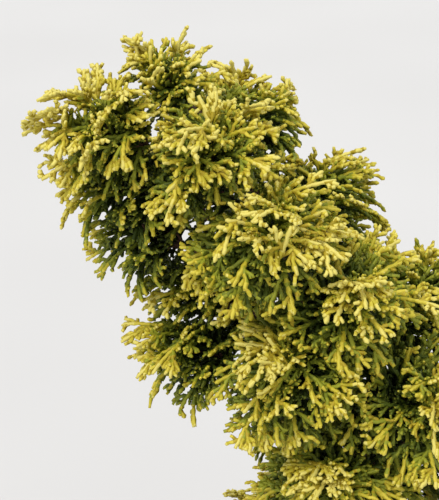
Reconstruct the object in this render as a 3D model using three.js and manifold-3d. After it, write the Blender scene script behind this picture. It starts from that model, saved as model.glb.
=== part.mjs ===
// A young golden false cypress that leans out of a plain clay pot.
// Millimetres, +Z up. The origin is the middle of the pot's flat underside.
import * as THREE from "three";
import { mergeVertices } from "three/addons/utils/BufferGeometryUtils.js";
import Module from "manifold-3d";

const wasm = await Module();
wasm.setup();

// Gap between two pieces that touch on the real plant
const SEAT_GAP = 0.3;

// Pot
const POT_HEIGHT = 142;
const RIM_RADIUS = 79;
const FOOT_RADIUS = 55;
const POT_WALL = 7;
const POT_FLOOR = 9;
const BAND_HEIGHT = 30;
const BAND_PROUD = 5;
const BAND_TAPER = 3;
const BODY_TAPER = 2;
const MOUTH_FLARE = 3;
const MOUTH_CHAMFER = 2;
const LIP_ROUND = 2;
const POT_SIDES = 28;
const DRAIN_COUNT = 3;
const DRAIN_RADIUS = 6;
const DRAIN_OFFSET = 32;
const DRAIN_SIDES = 8;

// Potting soil
const SOIL_BELOW_RIM = 14;
const SOIL_CROWN = 3;
const SOIL_FLAT_RADIUS = 24;
const SOIL_SIDE_GAP = 0.4;

// Trunk
const TRUNK_TIP = new THREE.Vector3(-38, 2, 396);
const TRUNK_KNEE = new THREE.Vector3(58, -4, 215);
const TRUNK_SHOULDER = new THREE.Vector3(16, 4, 320);
const TRUNK_BURIED = 12;
const TRUNK_RADIUS = 6.4;
const TRUNK_TIP_RADIUS = 1.4;
const FLARE_RADIUS = 4.2;
const FLARE_HEIGHT = 14;
const FLARE_LOBES = 5;
const FLARE_LOBE_DEPTH = 0.35;
const GROUND_BLOCK = 60;
const TRUNK_SIDES = 10;
const TRUNK_STEPS = 12;

// Boughs
const BOUGH_RISE = 0.45;
const BOUGH_SHARE = 0.46;
const BOUGH_TIP_RADIUS = 1.3;
const BOUGH_SAG = 0.06;
const BOUGH_SIDES = 5;
const BOUGH_STEPS = 2;
const HIGHEST_BOUGH = TRUNK_TIP.z - 8;

// Masses of foliage: the bough's compass bearing in degrees from +X towards +Y, the reach from the
// trunk's axis to the middle of the mass, the height of that middle, and half the length of the mass
const MASSES = {
  leader_tip: [-173, 8, 405, 23],
  near_left: [-153, 35, 392, 29],
  top_front: [-93, 25, 387, 30],
  top_right: [38, 16, 386, 23],
  top_back: [87, 25, 382, 29],
  left_upper: [-171, 42, 369, 29],
  left_lower: [-179, 46, 351, 28],
  left_middle: [168, 41, 324, 30],
  front_centre: [-87, 37, 361, 33],
  right_shoulder: [30, 17, 353, 31],
  back_middle: [88, 32, 338, 34],
  front_right: [-68, 37, 337, 34],
  right_side: [5, 36, 317, 32],
  lower_left: [-178, 49, 303, 29],
  lower_front: [-108, 39, 313, 35],
  right_front_low: [-56, 39, 298, 36],
  back_low: [75, 42, 292, 39],
  right_low: [3, 50, 277, 38],
  bottom_front: [-106, 37, 266, 36],
  low_left_back: [142, 28, 262, 28],
  skirt_front: [-98, 48, 212, 41],
  skirt_left: [-170, 52, 198, 39],
  skirt_back_left: [112, 50, 190, 37],
  skirt_back: [68, 52, 228, 42],
  skirt_right: [8, 50, 216, 42],
  skirt_front_right: [-46, 50, 222, 42],
  back_upper: [134, 28, 364, 27],
  back_left: [136, 32, 300, 29],
  right_back: [58, 32, 303, 30],
};
const GIRTH = 0.98;
const DEPTH = 0.88;
const ENTRY = 0.6;
const CORE_SHARE = 0.42;
const LEAST_CORE = 0.2;
const CORE_STEP = 0.03;
const LEAST_CORED = 26;
const STEM_RADIUS = 1.3;
const STEM_SIDES = 4;
const STEM_PAST_MIDDLE = 0.1;

// Fronds: flat sprays of scale leaves that stand all round the stem of a mass
const FRONDS_DRAWN = 5;
const FRONDS_TRIED = 30;
const POLAR_STRIDE = 0.7548776662;
const TURN_STRIDE = 0.569840291;
const FROND_SPREAD = THREE.MathUtils.degToRad(124);
const FROND_SPLAY = THREE.MathUtils.degToRad(42);
const FROND_WIDTH = 0.66;
const FROND_SIZES = [1, 0.85, 0.7, 0.55];
const FROND_THICKNESS = 1.7;
const LEAST_ARCH = 0.1;
const MORE_ARCH = 0.22;
const FROND_CURL = 0.012;
const FROND_FACE_UP = 0.8;
const FROND_FACE_OUT = 0.7;
const FROND_FACE_JITTER = 0.9;
const FROND_ROOT_SHARE = 0.3;
const FROND_FIRST_TOOTH = 0.36;
const FROND_TOOTH_STEP = 0.24;
const FROND_TOOTH_SHRINK = 0.26;
const FROND_TEETH = 2;
const HIGHEST_TOOTH = 0.97;
const FROND_TOOTH_ANGLE = THREE.MathUtils.degToRad(48);
const NOTCH_SHARE = 0.45;
const STALK_HALF_WIDTH = 1.2;
const ROOT_SINK = 3.5;
const FROND_REAR = 0.5;
const LONG_FRONDS = 8;
const LONG_SWELL = 1;
const SHORT_SWELL = 0.83;
const MORE_SWELL = 0.12;
const SPACE_MARGIN = 0.055;
const LIMB_MARGIN = 1.6;
const LIMB_SAMPLES = 24;

const UP = new THREE.Vector3(0, 0, 1);

// Materials
const clay = new THREE.MeshStandardMaterial({ color: 0xb5673f, roughness: 0.9, metalness: 0 });
const soil = new THREE.MeshStandardMaterial({ color: 0x3b2a20, roughness: 1, metalness: 0 });
const bark = new THREE.MeshStandardMaterial({ color: 0x6d4a38, roughness: 0.95, metalness: 0 });
const gold = new THREE.MeshStandardMaterial({ color: 0xc9b437, roughness: 0.6, metalness: 0 });
const green = new THREE.MeshStandardMaterial({ color: 0x6f8a2e, roughness: 0.6, metalness: 0 });

// Numbers from 0 to 1 that repeat for the same seed
function generator(seed) {
  let state = seed | 0;
  return () => {
    state = (state + 0x6d2b79f5) | 0;
    let t = Math.imul(state ^ (state >>> 15), 1 | state);
    t = (t + Math.imul(t ^ (t >>> 7), 61 | t)) ^ t;
    return ((t ^ (t >>> 14)) >>> 0) / 4294967296;
  };
}

// A closed geometry as a solid that can be joined and cut
function solidOf(geometry) {
  const bare = new THREE.BufferGeometry();
  bare.setAttribute("position", geometry.getAttribute("position").clone());
  if (geometry.index) bare.setIndex(geometry.index.clone());
  const merged = mergeVertices(bare, 1e-3);
  return new wasm.Manifold(
    new wasm.Mesh({
      numProp: 3,
      vertProperties: new Float32Array(merged.getAttribute("position").array),
      triVerts: new Uint32Array(merged.index.array),
    }),
  );
}

// A solid's outer skin alone, which fills the pockets that crossing fronds shut in
function outerSkin(solid) {
  return solid.decompose().reduce((best, each) => (each.volume() > best.volume() ? each : best));
}

// A solid as a geometry, with flat faces
function geometryOf(solid) {
  const { numProp, vertProperties, triVerts } = solid.getMesh();
  const positions = new Float32Array(triVerts.length * 3);
  triVerts.forEach((vertex, corner) => {
    for (let axis = 0; axis < 3; axis++)
      positions[corner * 3 + axis] = vertProperties[vertex * numProp + axis];
  });
  const geometry = new THREE.BufferGeometry();
  geometry.setAttribute("position", new THREE.BufferAttribute(positions, 3));
  geometry.computeVertexNormals();
  return geometry;
}

// A profile of [radius, height] points turned about the upright axis
function turned(profile, sides) {
  const points = profile.map(([radius, height]) => new THREE.Vector2(radius, height));
  return new THREE.LatheGeometry(points, sides).rotateX(Math.PI / 2);
}

// A round limb bent along a curve: radiusAt gives its radius from the share of its length and the angle
function limb(curve, radiusAt, sides, steps) {
  const geometry = new THREE.CylinderGeometry(1, 1, 1, sides, steps);
  const chord = curve.getPoint(1).sub(curve.getPoint(0)).normalize();
  const reference = Math.abs(chord.z) > 0.8 ? new THREE.Vector3(0, 1, 0) : UP;
  const position = geometry.getAttribute("position");
  for (let i = 0; i < position.count; i++) {
    const share = position.getY(i) + 0.5;
    const tangent = curve.getTangent(share);
    const across = new THREE.Vector3().crossVectors(tangent, reference).normalize();
    const over = new THREE.Vector3().crossVectors(across, tangent);
    const radius = radiusAt(share, Math.atan2(position.getZ(i), position.getX(i)));
    const point = curve
      .getPoint(share)
      .addScaledVector(across, position.getX(i) * radius)
      .addScaledVector(over, position.getZ(i) * radius);
    position.setXYZ(i, point.x, point.y, point.z);
  }
  return geometry;
}

// Height of the soil at the foot of the trunk, and the trunk's axis, which starts below it
const soilTop = POT_HEIGHT - SOIL_BELOW_RIM + SOIL_CROWN;
const trunkFoot = new THREE.Vector3(-TRUNK_BURIED / 3, 0, soilTop - TRUNK_BURIED);
const trunkCurve = new THREE.CubicBezierCurve3(trunkFoot, TRUNK_KNEE, TRUNK_SHOULDER, TRUNK_TIP);

function trunkRadius(share) {
  return THREE.MathUtils.lerp(TRUNK_RADIUS, TRUNK_TIP_RADIUS, share);
}

// The share of the trunk's length at which its axis reaches a height
function shareAtHeight(height) {
  let low = 0;
  let high = 1;
  for (let i = 0; i < 40; i++) {
    const middle = (low + high) / 2;
    if (trunkCurve.getPoint(middle).z < height) low = middle;
    else high = middle;
  }
  return (low + high) / 2;
}

// The frame of one mass: its middle, its three directions, its half lengths, and its bough
function massFrame(name, index) {
  const [bearing, reach, height, spread] = MASSES[name];
  const angle = THREE.MathUtils.degToRad(bearing);
  const centre = trunkCurve.getPoint(shareAtHeight(Math.min(height, TRUNK_TIP.z)));
  centre.set(centre.x + reach * Math.cos(angle), centre.y + reach * Math.sin(angle), height);
  const fromTip = name === "leader_tip";
  const leaves = fromTip ? 1 : shareAtHeight(Math.min(height - BOUGH_RISE * reach, HIGHEST_BOUGH));
  const start = trunkCurve.getPoint(leaves);
  const along = centre.clone().sub(start).normalize();
  const side = new THREE.Vector3().crossVectors(UP, along).normalize();
  const over = new THREE.Vector3().crossVectors(along, side);
  const sizes = [spread, spread * GIRTH, spread * DEPTH];
  const distance = centre.distanceTo(start);
  const inside = fromTip ? distance : Math.min(ENTRY * spread, ENTRY * distance);
  const entry = centre.clone().addScaledVector(along, -inside);
  const place = { centre, along, side, over, sizes, spread };
  return { name, index, ...place, leaves, start, entry, inside, fromTip };
}

const masses = Object.keys(MASSES).map(massFrame);

// How far out a point lies in a mass: 0 at its middle and 1 on its envelope
function depthIn(mass, point) {
  const offset = point.clone().sub(mass.centre);
  const [length, girth, depth] = mass.sizes;
  return Math.hypot(
    offset.dot(mass.along) / length,
    offset.dot(mass.side) / girth,
    offset.dot(mass.over) / depth,
  );
}

// A mass keeps to the points that lie deeper in it than in any other mass
function inOwnSpace(mass, point) {
  const own = depthIn(mass, point) + SPACE_MARGIN;
  return masses.every((other) => other === mass || depthIn(other, point) > own);
}

function boughCurve(mass) {
  const middle = mass.start.clone().lerp(mass.entry, 0.5);
  middle.z -= BOUGH_SAG * mass.start.distanceTo(mass.entry);
  return new THREE.QuadraticBezierCurve3(mass.start, middle, mass.entry);
}

function boughRadius(mass, share) {
  return THREE.MathUtils.lerp(BOUGH_SHARE * trunkRadius(mass.leaves), BOUGH_TIP_RADIUS, share);
}

// Points along the trunk and the boughs, with the radius there, for keeping foliage clear of them
const limbPoints = [];
for (let i = 0; i <= 4 * LIMB_SAMPLES; i++) {
  const share = i / (4 * LIMB_SAMPLES);
  limbPoints.push({ point: trunkCurve.getPoint(share), radius: trunkRadius(share) });
}
for (const mass of masses.filter((each) => !each.fromTip))
  for (let i = 0; i <= LIMB_SAMPLES; i++) {
    const share = i / LIMB_SAMPLES;
    limbPoints.push({
      point: boughCurve(mass).getPoint(share),
      radius: boughRadius(mass, share),
    });
  }

function clearOfLimbs(point) {
  return limbPoints.every((each) => point.distanceTo(each.point) > each.radius + LIMB_MARGIN);
}

// Frond number k of a mass at a share of its full size: where it springs from the stem, where its
// tip lies, and how it faces
function frondFrame(mass, k, size) {
  const random = generator(1000 * (mass.index + 1) + k);
  const polar = Math.acos(1 - ((k * POLAR_STRIDE) % 1) * (1 - Math.cos(FROND_SPREAD)));
  const turn = 2 * Math.PI * ((k * TURN_STRIDE) % 1);
  const swell = (k < LONG_FRONDS ? LONG_SWELL : SHORT_SWELL) + MORE_SWELL * random();
  const [length, girth, depth] = mass.sizes;
  const tip = mass.centre
    .clone()
    .addScaledVector(mass.along, length * Math.cos(polar) * swell)
    .addScaledVector(mass.side, girth * Math.sin(polar) * Math.cos(turn) * swell)
    .addScaledVector(mass.over, depth * Math.sin(polar) * Math.sin(turn) * swell);
  const offset = tip.clone().sub(mass.centre);
  const axial = offset.dot(mass.along);
  const lateral = offset.clone().addScaledVector(mass.along, -axial).length();
  const wanted = Math.min(axial - lateral / Math.tan(FROND_SPLAY), 0);
  const lowest = Math.max(ROOT_SINK - mass.inside, -FROND_REAR * mass.spread);
  const base = mass.centre.clone().addScaledVector(mass.along, Math.max(wanted, lowest));
  const axis = tip.clone().sub(base);
  const span = axis.length() * size;
  axis.normalize();
  const outward = mass.centre.clone().sub(trunkCurve.getPoint(mass.leaves)).setZ(0).normalize();
  const jitter = [random() - 0.5, random() - 0.5, random() - 0.5];
  const face = new THREE.Vector3(0, 0, FROND_FACE_UP)
    .addScaledVector(outward, FROND_FACE_OUT)
    .add(new THREE.Vector3(...jitter).multiplyScalar(FROND_FACE_JITTER));
  face.addScaledVector(axis, -face.dot(axis)).normalize();
  const across = new THREE.Vector3().crossVectors(axis, face);
  const arch = LEAST_ARCH + MORE_ARCH * random();
  return { base, axis, face, across, span, arch };
}

// A point of a frond: x across, y along its rib and z off its face, on a rib that arches
function onFrond(frond, x, y, z) {
  const share = y / frond.span;
  const arch = frond.arch * frond.span * 4 * share * (1 - share) - FROND_CURL * x * x;
  return frond.base
    .clone()
    .addScaledVector(frond.across, x)
    .addScaledVector(frond.axis, y)
    .addScaledVector(frond.face, z + arch);
}

// The toothed outline of a frond, from its stalk up one side, over the tip and down the other
function frondOutline(span) {
  const width = FROND_WIDTH * span;
  const half = (sign, lag) => {
    const points = [[sign * STALK_HALF_WIDTH, 0]];
    for (let i = 0; i < FROND_TEETH; i++) {
      const foot = (FROND_FIRST_TOOTH + FROND_TOOTH_STEP * i + lag) * span;
      const reach = width * (1 - FROND_TOOTH_SHRINK * i);
      const tipX = reach * Math.sin(FROND_TOOTH_ANGLE);
      const tipY = Math.min(foot + reach * Math.cos(FROND_TOOTH_ANGLE), HIGHEST_TOOTH * span);
      if (i > 0) points.push([sign * NOTCH_SHARE * tipX, foot]);
      points.push([sign * tipX, tipY]);
    }
    return points;
  };
  const left = half(-1, FROND_TOOTH_STEP / 2).reverse();
  return [...half(1, 0), [0, span], ...left];
}

// Points on the edge and rib of a frond that have to be clear of everything else
function frondSamples(frond) {
  const outline = frondOutline(frond.span);
  const samples = [];
  outline.forEach(([x, y], i) => {
    const [nextX, nextY] = outline[(i + 1) % outline.length];
    for (const share of [0, 0.5]) {
      const px = x + (nextX - x) * share;
      const py = y + (nextY - y) * share;
      samples.push(onFrond(frond, px, py, 0), onFrond(frond, px / 2, py, 0));
    }
  });
  return samples.filter((point) => point.distanceTo(frond.base) > FROND_ROOT_SHARE * frond.span);
}

// The fronds of a mass that keep to its own space and touch no limb, up to a number of them
function frondsOf(mass, most) {
  const kept = [];
  const free = (point) => inOwnSpace(mass, point) && clearOfLimbs(point);
  for (let k = 0; k < FRONDS_TRIED && kept.length < most; k++) {
    const fitting = FROND_SIZES.map((size) => frondFrame(mass, k, size)).find((frond) =>
      frondSamples(frond).every(free),
    );
    if (fitting) kept.push(fitting);
  }
  return kept;
}

function frondSolid(frond) {
  const shape = new THREE.Shape(frondOutline(frond.span).map(([x, y]) => new THREE.Vector2(x, y)));
  const blade = new THREE.ExtrudeGeometry(shape, {
    depth: FROND_THICKNESS,
    bevelEnabled: false,
    curveSegments: 1,
  });
  const position = blade.getAttribute("position");
  for (let i = 0; i < position.count; i++) {
    const [x, y, z] = [position.getX(i), position.getY(i), position.getZ(i)];
    const point = onFrond(frond, x, y, z - FROND_THICKNESS / 2);
    position.setXYZ(i, point.x, point.y, point.z);
  }
  return solidOf(blade);
}

// The dense middle of a mass, as large as fits clear of the limbs and of the other masses
function coreSolid(mass) {
  const ball = new THREE.IcosahedronGeometry(1, 0);
  for (let share = CORE_SHARE; share >= LEAST_CORE; share -= CORE_STEP) {
    const core = ball.clone();
    const position = core.getAttribute("position");
    let free = limbPoints.every(
      ({ point, radius }) => depthIn(mass, point) > share + (radius + LIMB_MARGIN) / mass.sizes[2],
    );
    for (let i = 0; i < position.count; i++) {
      const point = mass.centre
        .clone()
        .addScaledVector(mass.along, position.getX(i) * mass.sizes[0] * share)
        .addScaledVector(mass.side, position.getY(i) * mass.sizes[1] * share)
        .addScaledVector(mass.over, position.getZ(i) * mass.sizes[2] * share);
      position.setXYZ(i, point.x, point.y, point.z);
      free = free && inOwnSpace(mass, point) && clearOfLimbs(point);
    }
    if (free) return solidOf(core);
  }
  return null;
}

// The stem that carries a mass, from just past the tip of its bough
function stemSolid(mass) {
  const foot = mass.entry.clone().addScaledVector(mass.along, SEAT_GAP);
  const head = mass.centre.clone().addScaledVector(mass.along, STEM_PAST_MIDDLE * mass.spread);
  const curve = new THREE.LineCurve3(foot, head);
  return solidOf(limb(curve, () => STEM_RADIUS, STEM_SIDES, 1));
}

function trunkSolid(grown) {
  const radiusAt = (share, angle) => {
    const height = Math.max(trunkCurve.getPoint(share).z - soilTop, 0);
    const flare = FLARE_RADIUS * Math.exp(-height / FLARE_HEIGHT);
    return trunkRadius(share) + grown + flare * (1 + FLARE_LOBE_DEPTH * Math.cos(FLARE_LOBES * angle));
  };
  const ground = new THREE.BoxGeometry(GROUND_BLOCK, GROUND_BLOCK, GROUND_BLOCK);
  ground.translate(0, 0, soilTop + SEAT_GAP - GROUND_BLOCK / 2);
  const whole = solidOf(limb(trunkCurve, radiusAt, TRUNK_SIDES, TRUNK_STEPS));
  return whole.subtract(solidOf(ground));
}

// The clay pot: a tapering body, a proud band with a rounded lip, and drain holes off its middle
function potSolid() {
  const bandFoot = POT_HEIGHT - BAND_HEIGHT;
  const body = RIM_RADIUS - BAND_PROUD;
  const mouth = body - POT_WALL + MOUTH_FLARE;
  const profile = [
    [0, 0],
    [FOOT_RADIUS - LIP_ROUND, 0],
    [FOOT_RADIUS, LIP_ROUND],
    [body - BODY_TAPER, bandFoot],
    [RIM_RADIUS - BAND_TAPER, bandFoot + LIP_ROUND],
    [RIM_RADIUS, POT_HEIGHT - LIP_ROUND],
    [RIM_RADIUS - LIP_ROUND, POT_HEIGHT],
    [mouth + MOUTH_CHAMFER, POT_HEIGHT],
    [mouth, POT_HEIGHT - LIP_ROUND],
    [FOOT_RADIUS - POT_WALL, POT_FLOOR],
    [0, POT_FLOOR],
  ];
  let pot = solidOf(turned(profile, POT_SIDES));
  for (let i = 0; i < DRAIN_COUNT; i++) {
    const angle = (2 * Math.PI * (i + 0.5)) / DRAIN_COUNT;
    const drain = new THREE.CylinderGeometry(DRAIN_RADIUS, DRAIN_RADIUS, 3 * POT_FLOOR, DRAIN_SIDES)
      .rotateX(Math.PI / 2)
      .translate(DRAIN_OFFSET * Math.cos(angle), DRAIN_OFFSET * Math.sin(angle), 0);
    pot = pot.subtract(solidOf(drain));
  }
  return pot;
}

// The soil that fills the pot, a hair inside its wall
function soilSolid() {
  const innerRim = RIM_RADIUS - BAND_PROUD - POT_WALL + MOUTH_FLARE;
  const innerFoot = FOOT_RADIUS - POT_WALL;
  const edge = POT_HEIGHT - SOIL_BELOW_RIM;
  const wallAt = (height) => {
    const share = (height - POT_FLOOR) / (POT_HEIGHT - LIP_ROUND - POT_FLOOR);
    return THREE.MathUtils.lerp(innerFoot, innerRim, share) - SOIL_SIDE_GAP;
  };
  const floor = POT_FLOOR + SEAT_GAP;
  const profile = [
    [0, floor],
    [wallAt(floor), floor],
    [wallAt(edge), edge],
    [SOIL_FLAT_RADIUS, soilTop],
    [0, soilTop],
  ];
  return solidOf(turned(profile, POT_SIDES));
}

// The whole plant in its pot
const plant = new THREE.Group();

function add(name, solid, material) {
  const mesh = new THREE.Mesh(geometryOf(solid), material);
  mesh.name = name;
  plant.add(mesh);
}

add("pot", potSolid(), clay);
add("soil", soilSolid(), soil);
add("trunk", trunkSolid(0), bark);

const grownTrunk = trunkSolid(SEAT_GAP);
for (const mass of masses) {
  if (!mass.fromTip) {
    const radiusAt = (share) => boughRadius(mass, share);
    const bough = solidOf(limb(boughCurve(mass), radiusAt, BOUGH_SIDES, BOUGH_STEPS));
    add("bough_" + mass.name, bough.subtract(grownTrunk), bark);
  }
  let foliage = stemSolid(mass);
  const core = mass.spread < LEAST_CORED ? null : coreSolid(mass);
  if (core) foliage = foliage.add(core);
  for (const frond of frondsOf(mass, FRONDS_DRAWN)) foliage = foliage.add(frondSolid(frond));
  const sunny = mass.centre.z > trunkCurve.getPoint(0.3).z;
  add("mass_" + mass.name, outerSkin(foliage.subtract(grownTrunk)), sunny ? gold : green);
}

export default plant;
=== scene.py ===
# %% [markdown]
# # A golden false cypress in a clay pot
#
# The plant leans out of a plain clay pot. Its trunk, boughs and masses of foliage stand where the
# frame has them. The same seeded rule that placed the blades there grows finer shoots here.

import math

import bpy
import numpy as np
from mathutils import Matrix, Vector, noise


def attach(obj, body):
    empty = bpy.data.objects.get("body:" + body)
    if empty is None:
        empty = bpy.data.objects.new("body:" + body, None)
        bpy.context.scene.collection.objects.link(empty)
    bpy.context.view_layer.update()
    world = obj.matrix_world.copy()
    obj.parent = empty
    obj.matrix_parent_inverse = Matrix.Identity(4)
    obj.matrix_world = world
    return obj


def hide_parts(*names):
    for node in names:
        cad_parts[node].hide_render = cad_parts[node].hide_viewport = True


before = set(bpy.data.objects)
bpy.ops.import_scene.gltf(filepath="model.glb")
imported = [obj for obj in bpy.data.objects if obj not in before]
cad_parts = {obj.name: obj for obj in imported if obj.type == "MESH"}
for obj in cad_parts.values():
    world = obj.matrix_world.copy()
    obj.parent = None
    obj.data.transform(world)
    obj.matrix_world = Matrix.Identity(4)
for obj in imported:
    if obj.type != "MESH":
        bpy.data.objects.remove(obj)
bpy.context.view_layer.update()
print("nodes in the frame:", len(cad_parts))

# %% [markdown]
# ## The sizes that both scripts share
#
# Lengths are in millimetres until a mesh is made. The trunk follows a cubic curve from its foot to
# its tip. Each mass has a bearing round the trunk, a reach from it, a height and half a length.

# %%
MM = 0.001
SEAT_GAP = 0.3

POT_HEIGHT = 142.0
RIM_RADIUS = 79.0
FOOT_RADIUS = 55.0
POT_WALL = 7.0
POT_FLOOR = 9.0
BAND_HEIGHT = 30.0
BAND_PROUD = 5.0
BAND_TAPER = 3.0
BODY_TAPER = 2.0
MOUTH_FLARE = 3.0
LIP_ROUND = 2.0
DRAIN_COUNT = 3
DRAIN_RADIUS = 6.0
DRAIN_OFFSET = 32.0
SOIL_BELOW_RIM = 14.0
SOIL_CROWN = 3.0
SOIL_SIDE_GAP = 0.4
SOIL_TOP = POT_HEIGHT - SOIL_BELOW_RIM + SOIL_CROWN

TRUNK_BURIED = 12.0
TRUNK_CURVE = np.array(
    [
        [-TRUNK_BURIED / 3, 0.0, SOIL_TOP - TRUNK_BURIED],
        [58.0, -4.0, 215.0],
        [16.0, 4.0, 320.0],
        [-38.0, 2.0, 396.0],
    ]
)
TRUNK_RADIUS = 6.4
TRUNK_TIP_RADIUS = 1.4
FLARE_RADIUS = 4.2
FLARE_HEIGHT = 14.0
FLARE_LOBES = 5
FLARE_LOBE_DEPTH = 0.35
BOUGH_RISE = 0.45
BOUGH_SHARE = 0.46
BOUGH_TIP_RADIUS = 1.3
BOUGH_SAG = 0.06
HIGHEST_BOUGH = TRUNK_CURVE[3][2] - 8.0

MASSES = {
    "leader_tip": (-173, 8, 405, 23),
    "near_left": (-153, 35, 392, 29),
    "top_front": (-93, 25, 387, 30),
    "top_right": (38, 16, 386, 23),
    "top_back": (87, 25, 382, 29),
    "left_upper": (-171, 42, 369, 29),
    "left_lower": (-179, 46, 351, 28),
    "left_middle": (168, 41, 324, 30),
    "front_centre": (-87, 37, 361, 33),
    "right_shoulder": (30, 17, 353, 31),
    "back_middle": (88, 32, 338, 34),
    "front_right": (-68, 37, 337, 34),
    "right_side": (5, 36, 317, 32),
    "lower_left": (-178, 49, 303, 29),
    "lower_front": (-108, 39, 313, 35),
    "right_front_low": (-56, 39, 298, 36),
    "back_low": (75, 42, 292, 39),
    "right_low": (3, 50, 277, 38),
    "bottom_front": (-106, 37, 266, 36),
    "low_left_back": (142, 28, 262, 28),
    "skirt_front": (-98, 48, 212, 41),
    "skirt_left": (-170, 52, 198, 39),
    "skirt_back_left": (112, 50, 190, 37),
    "skirt_back": (68, 52, 228, 42),
    "skirt_right": (8, 50, 216, 42),
    "skirt_front_right": (-46, 50, 222, 42),
    "back_upper": (134, 28, 364, 27),
    "back_left": (136, 32, 300, 29),
    "right_back": (58, 32, 303, 30),
}
GIRTH = 0.98
DEPTH = 0.88
ENTRY = 0.6
STEM_PAST_MIDDLE = 0.1
POLAR_STRIDE = 0.7548776662
TURN_STRIDE = 0.569840291
FROND_SPREAD = math.radians(124)
FROND_SPLAY = math.radians(42)
FROND_WIDTH = 0.66
LEAST_ARCH = 0.1
MORE_ARCH = 0.22
FROND_CURL = 0.012
FROND_FACE_UP = 0.8
FROND_FACE_OUT = 0.7
FROND_FACE_JITTER = 0.9
FROND_FIRST_TOOTH = 0.36
FROND_TOOTH_SHRINK = 0.26 / 0.24
FROND_TOOTH_ANGLE = math.radians(48)
ROOT_SINK = 3.5
FROND_REAR = 0.5
LONG_FRONDS = 8
LONG_SWELL = 1.0
SHORT_SWELL = 0.83
MORE_SWELL = 0.12
LIMB_MARGIN = 1.3
LIMB_SAMPLES = 24
HALVINGS = 40
POINTS_AT_ONCE = 20000

# %% [markdown]
# ## Seeded numbers
#
# The generator gives the same numbers as the one in the plant's source, so frond number k of a mass
# stands where the source has it.


# %%
def generator(seed):
    state = seed & 0xFFFFFFFF

    def draw():
        nonlocal state
        state = (state + 0x6D2B79F5) & 0xFFFFFFFF
        t = ((state ^ (state >> 15)) * (1 | state)) & 0xFFFFFFFF
        t = ((t + (((t ^ (t >> 7)) * (61 | t)) & 0xFFFFFFFF)) & 0xFFFFFFFF) ^ t
        return ((t ^ (t >> 14)) & 0xFFFFFFFF) / 4294967296

    return draw


def unit(vector):
    return vector / np.linalg.norm(vector)


def cubic(points, t):
    a, b, c, d = points
    s = 1 - t
    return s**3 * a + 3 * s * s * t * b + 3 * s * t * t * c + t**3 * d


def trunk_point(share):
    return cubic(TRUNK_CURVE, share)


def trunk_radius(share):
    return TRUNK_RADIUS + (TRUNK_TIP_RADIUS - TRUNK_RADIUS) * share


def share_at_height(height):
    low, high = 0.0, 1.0
    for _ in range(HALVINGS):
        middle = (low + high) / 2
        if trunk_point(middle)[2] < height:
            low = middle
        else:
            high = middle
    return (low + high) / 2


# %% [markdown]
# ## The masses and their boughs
#
# A mass is a space shaped like an egg that lies along its bough. The bough leaves the trunk lower
# down and ends where it enters the mass.


# %%
UP = np.array([0.0, 0.0, 1.0])


class Mass:
    def __init__(self, index, name):
        bearing, reach, height, spread = MASSES[name]
        angle = math.radians(bearing)
        self.index = index
        self.name = name
        self.spread = spread
        self.from_tip = name == "leader_tip"
        axis = trunk_point(share_at_height(min(height, TRUNK_CURVE[3][2])))
        outward = np.array([math.cos(angle), math.sin(angle), 0.0])
        self.centre = np.array([axis[0], axis[1], height]) + reach * outward
        lowest = share_at_height(min(height - BOUGH_RISE * reach, HIGHEST_BOUGH))
        self.leaves = 1.0 if self.from_tip else lowest
        self.start = trunk_point(self.leaves)
        self.along = unit(self.centre - self.start)
        self.side = unit(np.cross(UP, self.along))
        self.over = np.cross(self.along, self.side)
        self.axes = np.array([self.along, self.side, self.over])
        self.sizes = np.array([spread, spread * GIRTH, spread * DEPTH])
        distance = np.linalg.norm(self.centre - self.start)
        near = min(ENTRY * spread, ENTRY * distance)
        self.inside = distance if self.from_tip else near
        self.entry = self.centre - self.inside * self.along
        flat = (self.centre - self.start) * np.array([1.0, 1.0, 0.0])
        self.outward = unit(flat)
        self.middle = (self.start + self.entry) / 2
        self.middle[2] -= BOUGH_SAG * np.linalg.norm(self.entry - self.start)

    def bough(self, share):
        s = 1 - share
        return s * s * self.start + 2 * s * share * self.middle + share * share * self.entry

    def bough_radius(self, share):
        thick = BOUGH_SHARE * trunk_radius(self.leaves)
        return thick + (BOUGH_TIP_RADIUS - thick) * share


masses = [Mass(index, name) for index, name in enumerate(MASSES)]
centres = np.array([mass.centre for mass in masses])
frames = np.array([mass.axes / mass.sizes[:, None] for mass in masses])


def depths(points):
    """How deep each point lies in each mass: 0 at its middle and 1 on its envelope."""
    local = np.einsum("nmk,mik->nmi", points[:, None, :] - centres[None], frames)
    return np.linalg.norm(local, axis=2)


limb_points = []
limb_radii = []
for step in range(4 * LIMB_SAMPLES + 1):
    limb_points.append(trunk_point(step / (4 * LIMB_SAMPLES)))
    limb_radii.append(trunk_radius(step / (4 * LIMB_SAMPLES)))
for mass in masses:
    if not mass.from_tip:
        for step in range(LIMB_SAMPLES + 1):
            limb_points.append(mass.bough(step / LIMB_SAMPLES))
            limb_radii.append(mass.bough_radius(step / LIMB_SAMPLES))
limb_points = np.array(limb_points)
limb_radii = np.array(limb_radii)


def clear_of_limbs(points):
    """Whether each point keeps off the trunk and the boughs."""
    free = np.ones(len(points), bool)
    for start in range(0, len(points), POINTS_AT_ONCE):
        part = points[start : start + POINTS_AT_ONCE]
        squares = (part**2).sum(1)[:, None] + (limb_points**2).sum(1)[None]
        gaps = squares - 2 * part @ limb_points.T
        clear = (gaps > (limb_radii + LIMB_MARGIN) ** 2).all(1)
        free[start : start + POINTS_AT_ONCE] = clear
    return free


print("masses:", len(masses))

# %% [markdown]
# ## Fronds
#
# Frond number k springs from the stem, points at its own place on the egg, and faces up and
# outward. The last ones are short and fill the inside. A point of a frond has x across it, y along
# its rib and z off its face.


# %%
OUTER_FRONDS = 32
FRONDS_GROWN = 46
INNER_SWELL = 0.58
SEEDS_A_MASS = 1000


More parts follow.
